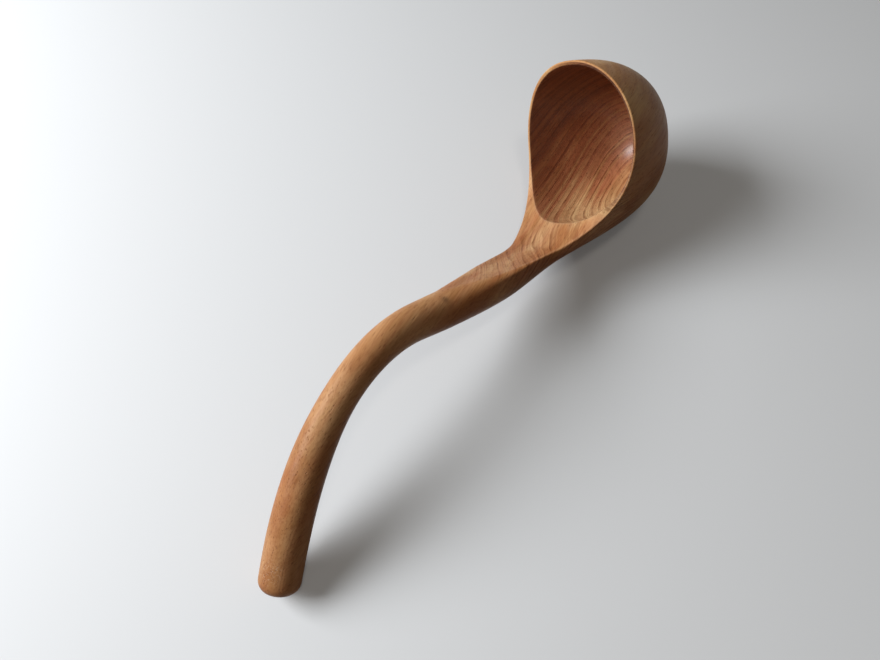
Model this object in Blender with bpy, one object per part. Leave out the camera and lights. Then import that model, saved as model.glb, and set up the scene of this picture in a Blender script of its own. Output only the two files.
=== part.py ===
"""A wooden serving ladle carved from one block, lying on its side on a table.

It is drawn in its own frame first, in millimetres. There x runs from the middle of the bowl's
opening toward the neck, z leaves the bowl square to its rim, and y runs across.
Every cross-section of the blank hangs between two lines in the plane y = 0: the face line,
along the carved upper side, and the back line, along the underside.
The finished blank is hollowed, then laid down so that its bowl and its handle's end both reach z = 0.
"""
import math
from typing import NamedTuple

import bmesh
import bpy
import numpy as np
from mathutils import Matrix, Vector, geometry

MM = 0.001

# Opening of the bowl, measured to the inner edge of its rim
OPENING_LENGTH_TO_TIP = 39.2
OPENING_LENGTH_TO_NECK = 35.8
OPENING_HALF_WIDTH = 32.4
TIP_FULLNESS_OF_OPENING = 2.15
LEFT_FULLNESS_OF_OPENING = 2.6
RIGHT_FULLNESS_OF_OPENING = 2.28

# Rim, thicker at the tip than at the sides, and higher there than at its lowest level
RIM_WIDTH_AT_TIP = 2.1
RIM_WIDTH_AT_SIDE = 1.6
TIP_HEIGHT = 5.8
EDGE_RADIUS = 0.8

# Outside of the bowl: depth below the rim, how far its lowest point lies toward the neck, and fullness
BOWL_DEPTH = 58.8
BOTTOM_OFFSET = 3.0
TIP_FULLNESS = 2.8
SIDE_FULLNESS = 2.27
REAR_FULLNESS_ADDED = 0.15

# Hollow: floor thickness, and how full its walls stay on the way down at the tip, sides and neck
FLOOR_THICKNESS = 4.0
HOLLOW_FULLNESS_AT_TIP = 2.45
HOLLOW_FULLNESS_AT_SIDE = 2.05
HOLLOW_FULLNESS_AT_NECK = 2.1
LIP_RADIUS = 0.5
CUTTER_HEIGHT = 24.0

# Sweeps of the face line and the back line between the bowl and the neck, as curve handle lengths
FACE_LENGTH_AT_BOWL = 23.0
FACE_LENGTH_AT_NECK = 23.6
BACK_LENGTH_AT_BOWL = 41.2
BACK_LENGTH_AT_NECK = 30.4

# Neck: its middle, past the opening and above the rim's lowest level, and how fast it narrows there
NECK_OFFSET = 13.2
NECK_HEIGHT = 35.2
NECK_NARROWING_SLOPE = 0.4

# Handle: a leaning shank that turns into a long bend, tightest where it starts and easing off
HANDLE_LENGTH = 214.6
SHANK_ANGLE = 3.4
NECK_ANGLE = 19.1
LEAN_FADE_LENGTH = 67.8
BEND_DISTANCE = 82.9
BEND_LENGTH = 204.5
BEND_ANGLE = 68.9
BUTT_RADIUS = 5.0


class Station(NamedTuple):
    """A cross-section of the handle: its distance from the neck along the centre line, and its sizes."""

    distance: float
    width: float
    depth: float
    flat_width: float


NECK_WIDTH = 31.2
NECK_DEPTH = 10.5
NECK_FLAT_WIDTH = 30.0
THROAT_DISTANCE = 33.0
THROAT_WIDTH = 25.6
THROAT_DEPTH = 16.3
THROAT_FLAT_WIDTH = 19.0
SHANK_DISTANCE = 66.5
SHANK_DIAMETER = 17.7
BEND_START_DISTANCE = 99.0
BEND_START_DIAMETER = 15.8
BEND_MIDDLE_DISTANCE = 132.0
BEND_MIDDLE_DIAMETER = 15.0
BEND_END_DISTANCE = 160.0
BEND_END_DIAMETER = 16.7
GRIP_DISTANCE = 190.0
GRIP_DIAMETER = 17.7
BUTT_DIAMETER = 17.6

NECK = Station(0.0, NECK_WIDTH, NECK_DEPTH, NECK_FLAT_WIDTH)
THROAT = Station(THROAT_DISTANCE, THROAT_WIDTH, THROAT_DEPTH, THROAT_FLAT_WIDTH)
SHANK = Station(SHANK_DISTANCE, SHANK_DIAMETER, SHANK_DIAMETER, 0.0)
BEND_START = Station(BEND_START_DISTANCE, BEND_START_DIAMETER, BEND_START_DIAMETER, 0.0)
BEND_MIDDLE = Station(BEND_MIDDLE_DISTANCE, BEND_MIDDLE_DIAMETER, BEND_MIDDLE_DIAMETER, 0.0)
BEND_END = Station(BEND_END_DISTANCE, BEND_END_DIAMETER, BEND_END_DIAMETER, 0.0)
GRIP = Station(GRIP_DISTANCE, GRIP_DIAMETER, GRIP_DIAMETER, 0.0)
BUTT = Station(HANDLE_LENGTH, BUTT_DIAMETER, BUTT_DIAMETER, 0.0)
STATIONS = (NECK, THROAT, SHANK, BEND_START, BEND_MIDDLE, BEND_END, GRIP, BUTT)

# How it lies: the ladle's plane leans over by this much, from upright
LIES_OVER_ANGLE = 32.9
PITCH_ANGLE_GUESS = 65.0
PITCH_ANGLE_SEARCH = 20.0

# A small flat under the bowl and under the handle's end, cut this deep, on which it stays as it lies
RESTING_FLAT_DEPTH = 0.8
TABLE_CUTTER_DEPTH = 20.0

# Facets
FRONT_RINGS = 18
REAR_RINGS = 18
HANDLE_RINGS = 46
BUTT_RINGS = 4
FLAT_STEPS = 4
SHOULDER_STEPS = 3
SIDE_STEPS = 11
HOLLOW_SIDES = 44
HOLLOW_RINGS = 11

# Oiled teak
WOOD_COLOUR = (0.42, 0.19, 0.075, 1.0)
WOOD_ROUGHNESS = 0.42


def clear_scene():
    for obj in list(bpy.data.objects):
        bpy.data.objects.remove(obj, do_unlink=True)


def superellipse(share, curve):
    """The other share of a unit superellipse: (1 - share^curve)^(1/curve)."""
    return max(1.0 - share**curve, 0.0) ** (1.0 / curve)


def smooth_through(pairs, at, first_slope):
    """Reads a smooth curve through (distance, size) pairs. Inner slopes are the mean of their chords."""
    xs, ys = zip(*pairs)
    chords = [(ys[i + 1] - ys[i]) / (xs[i + 1] - xs[i]) for i in range(len(xs) - 1)]
    slopes = [first_slope] + [(a + b) / 2 for a, b in zip(chords, chords[1:])] + [chords[-1]]
    i = min(max(int(np.searchsorted(xs, at)) - 1, 0), len(xs) - 2)
    step = xs[i + 1] - xs[i]
    u = (at - xs[i]) / step
    rise = ys[i] * (2 * u**3 - 3 * u**2 + 1) + ys[i + 1] * (3 * u**2 - 2 * u**3)
    return rise + step * (slopes[i] * (u**3 - 2 * u**2 + u) + slopes[i + 1] * (u**3 - u**2))


def handle_lean(distance):
    """The centre line's angle from z, in degrees: the neck's lean fades out, then the bend turns it."""
    neck = (NECK_ANGLE - SHANK_ANGLE) * max(1 - distance / LEAN_FADE_LENGTH, 0.0) ** 2
    into_bend = min(max((distance - BEND_DISTANCE) / BEND_LENGTH, 0.0), 1.0)
    return SHANK_ANGLE + neck + BEND_ANGLE * (1 - (1 - into_bend) ** 3)


def centre_line(distances):
    """Points and directions along the handle, found by adding up short steps along its lean."""
    fine = np.linspace(0.0, HANDLE_LENGTH, 801)
    lean = np.radians([handle_lean(s) for s in fine])
    steps = np.diff(fine)
    middle = (lean[1:] + lean[:-1]) / 2
    x = OPENING_LENGTH_TO_NECK + NECK_OFFSET + np.concatenate([[0.0], np.cumsum(np.sin(middle) * steps)])
    z = NECK_HEIGHT + np.concatenate([[0.0], np.cumsum(np.cos(middle) * steps)])
    found = []
    for s in distances:
        here = math.radians(handle_lean(s))
        point = Vector((np.interp(s, fine, x), 0.0, np.interp(s, fine, z)))
        found.append((point, Vector((math.sin(here), 0.0, math.cos(here)))))
    return found


class Slice(NamedTuple):
    """One cross-section of the blank."""

    face: Vector
    back: Vector
    half_width: float
    half_flat: float
    fullness: float


def handle_slice(distance, middle, along):
    """A cross-section square to the centre line. Near the end it shrinks by a quarter circle."""
    stations = STATIONS
    widths = [(s.distance, s.width / 2) for s in stations]
    half_width = smooth_through(widths, distance, -NECK_NARROWING_SLOPE)
    first = (THROAT.depth - NECK.depth) / 2 / THROAT.distance
    half_depth = smooth_through([(s.distance, s.depth / 2) for s in stations], distance, first)
    half_flat = np.interp(distance, [s.distance for s in stations], [s.flat_width / 2 for s in stations])
    past = distance - (HANDLE_LENGTH - BUTT_RADIUS)
    if past > 0:
        cut = BUTT_RADIUS - math.sqrt(max(BUTT_RADIUS**2 - past**2, 0.0))
        half_width -= cut
        half_depth -= cut
    to_face = Vector((-along.z, 0.0, along.x)) * half_depth
    return Slice(middle + to_face, middle - to_face, half_width, half_flat, 2.0)


def handle_slices():
    straight = np.linspace(0.0, HANDLE_LENGTH - BUTT_RADIUS, HANDLE_RINGS)
    turns = np.radians(np.linspace(0.0, 90.0, BUTT_RINGS + 1)[1:])
    rounded = HANDLE_LENGTH - BUTT_RADIUS + BUTT_RADIUS * np.sin(turns)
    distances = np.concatenate([straight, rounded])
    return [handle_slice(s, *place) for s, place in zip(distances, centre_line(distances))]


def front_slices():
    """From the tip to the bowl's middle, by an angle that runs from 0 at the tip to short of 90 degrees."""
    length = OPENING_LENGTH_TO_TIP + RIM_WIDTH_AT_TIP
    half_width = OPENING_HALF_WIDTH + RIM_WIDTH_AT_SIDE
    found = []
    for turn in np.linspace(0.0, math.pi / 2, FRONT_RINGS + 1)[1:-1]:
        c = math.cos(turn)
        face = Vector((-length * c, 0.0, TIP_HEIGHT * c * c))
        drop = Vector((BOTTOM_OFFSET * (1 - c * c), 0.0, -BOWL_DEPTH * superellipse(c, TIP_FULLNESS)))
        width = half_width * superellipse(c, TIP_FULLNESS_OF_OPENING)
        found.append(Slice(face, face + drop, width, width, SIDE_FULLNESS))
    return found


def rear_slices(neck):
    """From the bowl's middle to just before the neck, along one curve for the face and one for the back."""
    count = REAR_RINGS + 1
    _, along = centre_line([0.0])[0]
    rim = Vector((0, 0, 0))
    leaves_rim = Vector((FACE_LENGTH_AT_BOWL, 0, 0))
    reaches_face = neck.face - along * FACE_LENGTH_AT_NECK
    face = geometry.interpolate_bezier(rim, leaves_rim, reaches_face, neck.face, count)
    bottom = Vector((BOTTOM_OFFSET, 0, -BOWL_DEPTH))
    leaves_bottom = bottom + Vector((BACK_LENGTH_AT_BOWL, 0, 0))
    reaches_back = neck.back - along * BACK_LENGTH_AT_NECK
    back = geometry.interpolate_bezier(bottom, leaves_bottom, reaches_back, neck.back, count)
    start = OPENING_HALF_WIDTH + RIM_WIDTH_AT_SIDE
    slope = -3 * FACE_LENGTH_AT_NECK * NECK_NARROWING_SLOPE
    found = []
    for i in range(REAR_RINGS):
        r = i / REAR_RINGS
        there = 3 * r**2 - 2 * r**3
        width = start * (1 - there) + neck.half_width * there + slope * (r**3 - r**2)
        flat_share = 1 - (1 - neck.half_flat / neck.half_width) * r**3
        added = REAR_FULLNESS_ADDED * 4 * r * (1 - r)
        fullness = SIDE_FULLNESS + (neck.fullness - SIDE_FULLNESS) * r + added
        found.append(Slice(face[i], back[i], width, width * flat_share, fullness))
    return found


def half_section(cut):
    """Points (across, down) of half a section: a flat, a rounded shoulder, a full curve to the back."""
    depth = (cut.face - cut.back).length
    flat_share = cut.half_flat / cut.half_width
    shoulder_width = max(cut.half_width - cut.half_flat, min(EDGE_RADIUS, 0.4 * cut.half_width))
    shoulder_drop = max(depth / 2 * (1 - flat_share), min(EDGE_RADIUS, 0.4 * depth))
    flat = cut.half_width - shoulder_width
    arc = math.pi / 2 * math.hypot(shoulder_width, shoulder_drop) / math.sqrt(2)
    steps = FLAT_STEPS + SHOULDER_STEPS
    points = []
    for k in range(steps):
        past_flat = max(k - FLAT_STEPS, 0)
        crowded = flat * (k - past_flat) / FLAT_STEPS + arc * past_flat / SHOULDER_STEPS
        even = (flat + arc) * k / steps
        along = flat_share * crowded + (1 - flat_share) * even
        turn = max(along - flat, 0.0) / arc * math.pi / 2
        across = min(along, flat) + shoulder_width * math.sin(turn)
        points.append((across, shoulder_drop * (1 - math.cos(turn))))
    for k in range(SIDE_STEPS + 1):
        turn = math.pi / 2 * k / SIDE_STEPS
        across = cut.half_width * max(math.cos(turn), 0.0) ** (2 / cut.fullness)
        down = math.sin(turn) ** (2 / cut.fullness)
        points.append((across, shoulder_drop + (depth - shoulder_drop) * down))
    points[-1] = (0.0, depth)
    return points


def ring_of(cut):
    """The whole section, from the middle of the face down one side and up the other."""
    down = (cut.back - cut.face).normalized()
    half = half_section(cut)
    one_side = [cut.face + down * drop + Vector((0, across, 0)) for across, drop in half]
    other_side = [Vector((p.x, -p.y, p.z)) for p in one_side[-2:0:-1]]
    return one_side + other_side


def skin(bm, rings):
    """Joins each ring of vertices to the next with four-sided faces."""
    for first, second in zip(rings, rings[1:]):
        for i in range(len(first)):
            j = (i + 1) % len(first)
            bm.faces.new((first[i], first[j], second[j], second[i]))


def close_with_point(bm, ring, point):
    tip = bm.verts.new(point)
    for i in range(len(ring)):
        bm.faces.new((tip, ring[i], ring[(i + 1) % len(ring)]))


def new_object(name, bm):
    bmesh.ops.recalc_face_normals(bm, faces=bm.faces)
    mesh = bpy.data.meshes.new(name)
    bm.to_mesh(mesh)
    bm.free()
    obj = bpy.data.objects.new(name, mesh)
    bpy.context.scene.collection.objects.link(obj)
    return obj


def make_blank(slices):
    """Lofts the blank: a point at the tip, the rings, and a small flat at the handle's end."""
    bm = bmesh.new()
    rings = [[bm.verts.new(p * MM) for p in ring_of(cut)] for cut in slices]
    skin(bm, rings)
    tip = Vector((-(OPENING_LENGTH_TO_TIP + RIM_WIDTH_AT_TIP), 0, TIP_HEIGHT))
    close_with_point(bm, rings[0], tip * MM)
    bm.faces.new(rings[-1])
    return new_object("ladle", bm)


def opening_outline(grow):
    """Points of the opening's edge seen square to the rim, grown outward by a distance."""
    points = []
    for k in range(HOLLOW_SIDES):
        turn = 2 * math.pi * k / HOLLOW_SIDES
        c, s = math.cos(turn), math.sin(turn)
        length = OPENING_LENGTH_TO_NECK
        fullness = LEFT_FULLNESS_OF_OPENING if s > 0 else RIGHT_FULLNESS_OF_OPENING
        if c < 0:
            length = OPENING_LENGTH_TO_TIP
            fullness = TIP_FULLNESS_OF_OPENING
        x = (length + grow) * math.copysign(abs(c) ** (2 / fullness), c)
        y = (OPENING_HALF_WIDTH + grow) * math.copysign(abs(s) ** (2 / fullness), s)
        points.append((c, x, y))
    return points


def make_hollow_cutter(slices):
    """The bowl's inside as a solid: rings that shrink toward the floor, with a mouth above the rim."""
    face = sorted((cut.face.x, cut.face.z) for cut in slices[: FRONT_RINGS + REAR_RINGS - 1])
    face_x, face_z = zip(*face)
    floor = FLOOR_THICKNESS - BOWL_DEPTH
    bm = bmesh.new()
    rings = []
    for k in range(1, HOLLOW_RINGS + 1):
        down = math.sin(math.pi / 2 * (1 - k / (HOLLOW_RINGS + 1)))
        ring = []
        for c, x, y in opening_outline(0.0):
            at_end = HOLLOW_FULLNESS_AT_TIP if c < 0 else HOLLOW_FULLNESS_AT_NECK
            fullness = HOLLOW_FULLNESS_AT_SIDE + (at_end - HOLLOW_FULLNESS_AT_SIDE) * c * c
            left = superellipse(down, fullness)
            z = np.interp(x, face_x, face_z) * (1 - down) + floor * down
            ring.append(bm.verts.new(Vector((x * left + BOTTOM_OFFSET * down, y * left, z)) * MM))
        rings.append(ring)
    for grow, lift in ((0.0, -LIP_RADIUS), (LIP_RADIUS, 0.0), (3 * LIP_RADIUS, 4 * LIP_RADIUS)):
        ring = []
        for _, x, y in opening_outline(grow):
            ring.append(bm.verts.new(Vector((x, y, np.interp(x, face_x, face_z) + lift)) * MM))
        rings.append(ring)
    top = NECK_HEIGHT + CUTTER_HEIGHT
    rings.append([bm.verts.new(Vector((v.co.x, v.co.y, top * MM))) for v in rings[-1]])
    skin(bm, rings)
    close_with_point(bm, rings[0], Vector((BOTTOM_OFFSET, 0, floor)) * MM)
    bm.faces.new(rings[-1])
    return new_object("hollow_cutter", bm)


def turned(pitch):
    """The ladle leaning over, its handle toward -x, with its length tipped by a pitch."""
    over = Matrix.Rotation(math.radians(-LIES_OVER_ANGLE), 4, "X")
    return over @ Matrix.Rotation(pitch, 4, "Y") @ Matrix.Rotation(math.pi, 4, "Z")


def lowest(points, rotation):
    return min((rotation @ p for p in points), key=lambda p: p.z)


def resting_place(blank):
    """The rotation and place in which the bowl and the handle's end reach the table together.

    Both then go below z = 0 by the depth of the resting flat, which is cut off afterwards.
    """
    points = [vertex.co.copy() for vertex in blank.data.vertices]
    ring_size = 2 * (FLAT_STEPS + SHOULDER_STEPS + SIDE_STEPS)
    bowl = points[: ring_size * (FRONT_RINGS + REAR_RINGS - 1)]
    end = points[-ring_size * (BUTT_RINGS + 6) :]

    def gap(pitch):
        return lowest(bowl, turned(pitch)).z - lowest(end, turned(pitch)).z

    low, high = (math.radians(d - PITCH_ANGLE_GUESS) for d in (-PITCH_ANGLE_SEARCH, PITCH_ANGLE_SEARCH))
    for _ in range(50):
        middle = (low + high) / 2
        if gap(low) * gap(middle) <= 0:
            high = middle
        else:
            low = middle
    rotation = turned((low + high) / 2)
    along = lowest(bowl, rotation) - lowest(end, rotation)
    rotation = Matrix.Rotation(-math.atan2(along.y, along.x), 4, "Z") @ rotation
    laid = [rotation @ p for p in points]
    least = Vector([min(p[i] for p in laid) for i in range(3)])
    most = Vector([max(p[i] for p in laid) for i in range(3)])
    place = Vector((-(least.x + most.x) / 2, -(least.y + most.y) / 2, -least.z - RESTING_FLAT_DEPTH * MM))
    return Matrix.Translation(place) @ rotation


def make_table_cutter(ladle):
    """A slab whose top is the table, carried by the ladle."""
    laid = [ladle.matrix_world @ vertex.co for vertex in ladle.data.vertices]
    reach = TABLE_CUTTER_DEPTH * MM
    least = Vector((min(p.x for p in laid) - reach, min(p.y for p in laid) - reach, -reach))
    most = Vector((max(p.x for p in laid) + reach, max(p.y for p in laid) + reach, 0.0))
    bm = bmesh.new()
    bmesh.ops.create_cube(bm, size=1.0)
    bmesh.ops.scale(bm, vec=most - least, verts=bm.verts)
    bmesh.ops.translate(bm, vec=(most + least) / 2, verts=bm.verts)
    bmesh.ops.transform(bm, matrix=ladle.matrix_world.inverted(), verts=bm.verts)
    return new_object("table_cutter", bm)


def cut_away(ladle, cutter, name):
    """Takes a hidden solid away from the ladle, and moves with it."""
    cutter.hide_render = True
    cutter.display_type = "WIRE"
    cutter.parent = ladle
    cut = ladle.modifiers.new(name, "BOOLEAN")
    cut.operation = "DIFFERENCE"
    cut.solver = "EXACT"
    cut.object = cutter


def wood():
    material = bpy.data.materials.new("oiled_teak")
    material.use_nodes = True
    shader = material.node_tree.nodes["Principled BSDF"]
    shader.inputs["Base Color"].default_value = WOOD_COLOUR
    shader.inputs["Roughness"].default_value = WOOD_ROUGHNESS
    shader.inputs["Metallic"].default_value = 0.0
    return material


def main():
    clear_scene()
    handle = handle_slices()
    slices = front_slices() + rear_slices(handle[0]) + handle
    ladle = make_blank(slices)
    cutter = make_hollow_cutter(slices)
    ladle.matrix_world = resting_place(ladle)
    cut_away(ladle, cutter, "hollow")
    cut_away(ladle, make_table_cutter(ladle), "resting_flat")
    ladle.data.materials.append(wood())
    ladle.data.shade_smooth()
    ladle.data.set_sharp_from_angle(angle=math.radians(40))


main()
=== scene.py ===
"""A carved wooden ladle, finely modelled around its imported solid, with its wood, floor, light and camera.

The ladle is worked out in its own frame, in metres. There x runs from the middle of the bowl's opening
toward the neck, z leaves the bowl square to its rim, and y runs across. It is then laid on the table.
"""
import math
from typing import NamedTuple

import bmesh
import bpy
import numpy as np
from mathutils import Euler, Matrix, Vector


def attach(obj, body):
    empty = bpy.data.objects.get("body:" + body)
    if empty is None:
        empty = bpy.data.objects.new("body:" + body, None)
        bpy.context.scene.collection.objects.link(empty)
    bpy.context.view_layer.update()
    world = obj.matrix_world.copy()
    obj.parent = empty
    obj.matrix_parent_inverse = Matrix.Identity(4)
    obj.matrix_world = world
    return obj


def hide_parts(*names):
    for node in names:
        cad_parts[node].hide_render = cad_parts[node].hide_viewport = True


bl_info = {
    "name": "Carved wooden ladle",
    "version": (1, 0, 0),
    "blender": (4, 5, 0),
    "location": "3D View > Sidebar > Ladle",
    "description": "Builds a carved wooden ladle, its oiled wood, and a plain stage to look at it on",
    "category": "Add Mesh",
}

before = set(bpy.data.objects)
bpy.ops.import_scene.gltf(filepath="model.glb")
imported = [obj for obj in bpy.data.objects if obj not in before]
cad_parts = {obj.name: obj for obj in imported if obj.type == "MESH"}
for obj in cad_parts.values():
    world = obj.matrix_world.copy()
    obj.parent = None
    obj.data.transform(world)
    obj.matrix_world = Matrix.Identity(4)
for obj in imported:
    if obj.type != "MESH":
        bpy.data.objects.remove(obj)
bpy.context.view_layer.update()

# Distance along the handle's middle, width, depth and width of the carved flat, all in metres
HANDLE_LENGTH = 0.2146
STATIONS = np.array(
    [
        (0.000, 0.0312, 0.0105, 0.0300),
        (0.033, 0.0256, 0.0163, 0.0190),
        (0.0665, 0.0177, 0.0177, 0.0),
        (0.099, 0.0158, 0.0158, 0.0),
        (0.132, 0.0150, 0.0150, 0.0),
        (0.160, 0.0167, 0.0167, 0.0),
        (0.190, 0.0177, 0.0177, 0.0),
        (HANDLE_LENGTH, 0.0176, 0.0176, 0.0),
    ]
)
HANDLE_FULLNESS = 2.0

# Fullness of the opening round its tip and at both sides of its neck end
OPENING_FULLNESS_TIP = 2.15
OPENING_FULLNESS_LEFT = 2.6
OPENING_FULLNESS_RIGHT = 2.28

# Fullness of the bowl's outside toward its tip and its sides, and a little more between bowl and neck
TIP_FULLNESS = 2.8
SIDE_FULLNESS = 2.27
REAR_FULLNESS_ADDED = 0.15

# Fullness of the hollow toward the tip, the sides and the neck
HOLLOW_FULLNESS_TIP = 2.45
HOLLOW_FULLNESS_SIDE = 2.05
HOLLOW_FULLNESS_NECK = 2.1

# Sweeps of the face line and the back line from the bowl to the neck, as lengths of curve handles
FACE_LENGTH_AT_BOWL = 0.023
FACE_LENGTH_AT_NECK = 0.0236
BACK_LENGTH_AT_BOWL = 0.0412
BACK_LENGTH_AT_NECK = 0.0304
NECK_NARROWING_SLOPE = 0.4

# Neck's middle, past the opening and above the rim
NECK_OFFSET = 0.0132
NECK_HEIGHT = 0.0352

# Lean of the handle in degrees, and where it fades and bends
SHANK_ANGLE = 3.4
NECK_ANGLE = 19.1
LEAN_FADE_LENGTH = 0.0678
BEND_DISTANCE = 0.0829
BEND_LENGTH = 0.2045
BEND_ANGLE = 68.9

# How the ladle lies: leaning over, tipped, turned, and then moved
LEAN = 32.900
PITCH = -64.688
YAW = -3.478
PLACE = (0.09818, 0.00317, 0.04517)

# Steps of the surface's grids, and how far the side's points crowd to its edge
FLAT_STEPS = 14
SHOULDER_STEPS = 7
SIDE_STEPS = 44
SIDE_CROWDING = 1.35
TIP_STEPS = 144
REAR_STEPS = 64
HANDLE_ROWS = 190
END_STEPS = 14
CAP_STEPS = 4
RIM_FLAT_ROWS = 18
LIP_ROWS = 7
LIP_MIDDLE = RIM_FLAT_ROWS + LIP_ROWS // 2
HOLLOW_ROWS = 60

# Counts for the lines that are only read off
FINE_STEPS = 2000
CENTRE_LINE_STEPS = 4000
FACE_LINE_POINTS = 600

# The most of a section that a rounding takes, the least width that is divided by, and the weld's grid
LARGEST_ROUNDING = 0.4
LEAST_WIDTH = 1e-9
WELD_GRID = 2e-6

# Reach of the wear and painted highlight at an edge, and widths of the rim's flat where its painted shade is
# full and where it is gone
WEAR_AND_HIGHLIGHT_REACH = 0.0005
FULLY_SHADED_FLAT = 0.003
UNSHADED_FLAT = 0.006

# The painted shade's share in the middle plane, and its growth over half the opening's width to the fuller
# side
PAINTED_SHADE_AT_MIDDLE = 0.4
PAINTED_SHADE_GROWTH = 1.2

# Names of the masks that the wood reads off the surface
MASKS = ("edge", "hollow", "rim")


def length_setting(name, description, default):
    return bpy.props.FloatProperty(name=name, description=description, default=default, unit="LENGTH")


def colour_setting(name, description, default):
    return bpy.props.FloatVectorProperty(name=name, description=description, default=default, subtype="COLOR")


def share_setting(name, description, default):
    setting = {"name": name, "description": description, "default": default}
    return bpy.props.FloatProperty(**setting, min=0.0, max=1.0, subtype="FACTOR")


def power_setting(name, description, default):
    return bpy.props.FloatProperty(name=name, description=description, default=default, unit="POWER")


class LadleSizes(bpy.types.PropertyGroup):
    """Sizes of the ladle, which match its solid."""

    opening_to_tip: length_setting("Opening to tip", "From the opening's middle to its far edge", 0.0392)
    opening_to_neck: length_setting("Opening to neck", "From the opening's middle to the neck's edge", 0.0358)
    opening_half_width: length_setting("Opening half width", "Half of the opening's width", 0.0324)
    rim_at_tip: length_setting("Rim at tip", "Width of the rim at the tip", 0.0021)
    rim_at_side: length_setting("Rim at side", "Width of the rim at the sides", 0.0016)
    tip_height: length_setting("Tip height", "How far the rim rises at the tip", 0.0058)
    bowl_depth: length_setting("Bowl depth", "Outside depth of the bowl below its rim", 0.0588)
    bottom_offset: length_setting("Bottom offset", "How far the lowest point lies toward the neck", 0.0030)
    floor_thickness: length_setting("Floor thickness", "Wood left under the hollow", 0.004)
    edge_radius: length_setting("Edge radius", "Rounding of the rim's outer edge", 0.0008)
    lip_radius: length_setting("Lip radius", "Rounding of the opening's edge", 0.0005)
    handle_length: length_setting("Handle length", "From the neck to its end, along it", HANDLE_LENGTH)
    end_radius: length_setting("End radius", "Rounding of the handle's end", 0.005)


def superellipse(share, fullness):
    """The other share of a unit superellipse: (1 - share^fullness)^(1/fullness)."""
    return np.maximum(1.0 - np.abs(share) ** fullness, 0.0) ** (1.0 / fullness)


def spread(angle, fullness):
    """A superellipse's own cosine and sine: each is sign * |cos or sin|^(2/fullness)."""
    c, s = np.cos(angle), np.sin(angle)
    power = 2.0 / fullness
    return np.sign(c) * np.abs(c) ** power, np.sign(s) * np.abs(s) ** power


def bezier(ends, handles, share):
    """A cubic curve: (1-u)^3 a + 3 (1-u)^2 u b + 3 (1-u) u^2 c + u^3 d."""
    u = share[:, None]
    a, d = ends
    b, c = handles
    return (1 - u) ** 3 * a + 3 * (1 - u) ** 2 * u * b + 3 * (1 - u) * u**2 * c + u**3 * d


def smooth_through(xs, ys, at, first_slope):
    """A curve through points by cubic steps, whose inner slopes are the mean of their chords' slopes."""
    chords = np.diff(ys) / np.diff(xs)
    slopes = np.concatenate([[first_slope], (chords[1:] + chords[:-1]) / 2, chords[-1:]])
    i = np.clip(np.searchsorted(xs, at) - 1, 0, len(xs) - 2)
    step = xs[i + 1] - xs[i]
    u = (at - xs[i]) / step
    between = ys[i] * (2 * u**3 - 3 * u**2 + 1) + ys[i + 1] * (3 * u**2 - 2 * u**3)
    return between + step * (slopes[i] * (u**3 - 2 * u**2 + u) + slopes[i + 1] * (u**3 - u**2))


def handle_lean(distance):
    """Angle from z at a distance s along the handle, in radians.

    It is shank + (neck - shank) (1 - s / fade)^2, and bend (1 - (1 - t)^3) more at a share t of the bend.
    """
    neck = (NECK_ANGLE - SHANK_ANGLE) * np.maximum(1 - distance / LEAN_FADE_LENGTH, 0.0) ** 2
    into_bend = np.clip((distance - BEND_DISTANCE) / BEND_LENGTH, 0.0, 1.0)
    return np.radians(SHANK_ANGLE + neck + BEND_ANGLE * (1 - (1 - into_bend) ** 3))


def centre_line(sizes, distance):
    """Points and directions in the plane y = 0, adding up (sin lean, cos lean) along the handle."""
    fine = np.linspace(0.0, sizes.handle_length, CENTRE_LINE_STEPS + 1)
    lean = handle_lean(fine)
    middle = (lean[1:] + lean[:-1]) / 2
    step = np.diff(fine)
    x = sizes.opening_to_neck + NECK_OFFSET + np.concatenate([[0.0], np.cumsum(np.sin(middle) * step)])
    z = NECK_HEIGHT + np.concatenate([[0.0], np.cumsum(np.cos(middle) * step)])
    here = handle_lean(distance)
    points = np.stack([np.interp(distance, fine, x), np.interp(distance, fine, z)], axis=1)
    return points, np.stack([np.sin(here), np.cos(here)], axis=1)


class Loft(NamedTuple):
    """Cross-sections as arrays: face and back points in the plane y = 0, half widths, half flats, fullness,
    and how far the points of each section crowd to the ridge, from 0 to 1."""

    face: np.ndarray
    back: np.ndarray
    half_width: np.ndarray
    half_flat: np.ndarray
    fullness: np.ndarray
    crowding: np.ndarray


def handle_loft(sizes, distance):
    """Sections square to the handle's middle line, with face and back half a depth away on either side.

    Near the end both half sizes shrink by r - sqrt(r^2 - past^2), which rounds it by a quarter circle.
    """
    at, width, depth, flat = STATIONS.T
    point, along = centre_line(sizes, distance)
    half_width = smooth_through(at, width / 2, distance, -NECK_NARROWING_SLOPE)
    half_depth = smooth_through(at, depth / 2, distance, (depth[1] - depth[0]) / 2 / at[1])
    half_flat = np.interp(distance, at, flat / 2)
    past = np.maximum(distance - (sizes.handle_length - sizes.end_radius), 0.0)
    cut = sizes.end_radius - np.sqrt(np.maximum(sizes.end_radius**2 - past**2, 0.0))
    half_width = half_width - cut
    half_depth = half_depth - cut
    to_face = np.stack([-along[:, 1], along[:, 0]], axis=1) * half_depth[:, None]
    full = np.full(len(distance), HANDLE_FULLNESS)
    crowding = (half_flat / half_width) / (half_flat[0] / half_width[0])
    return Loft(point + to_face, point - to_face, half_width, half_flat, full, crowding)


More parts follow.
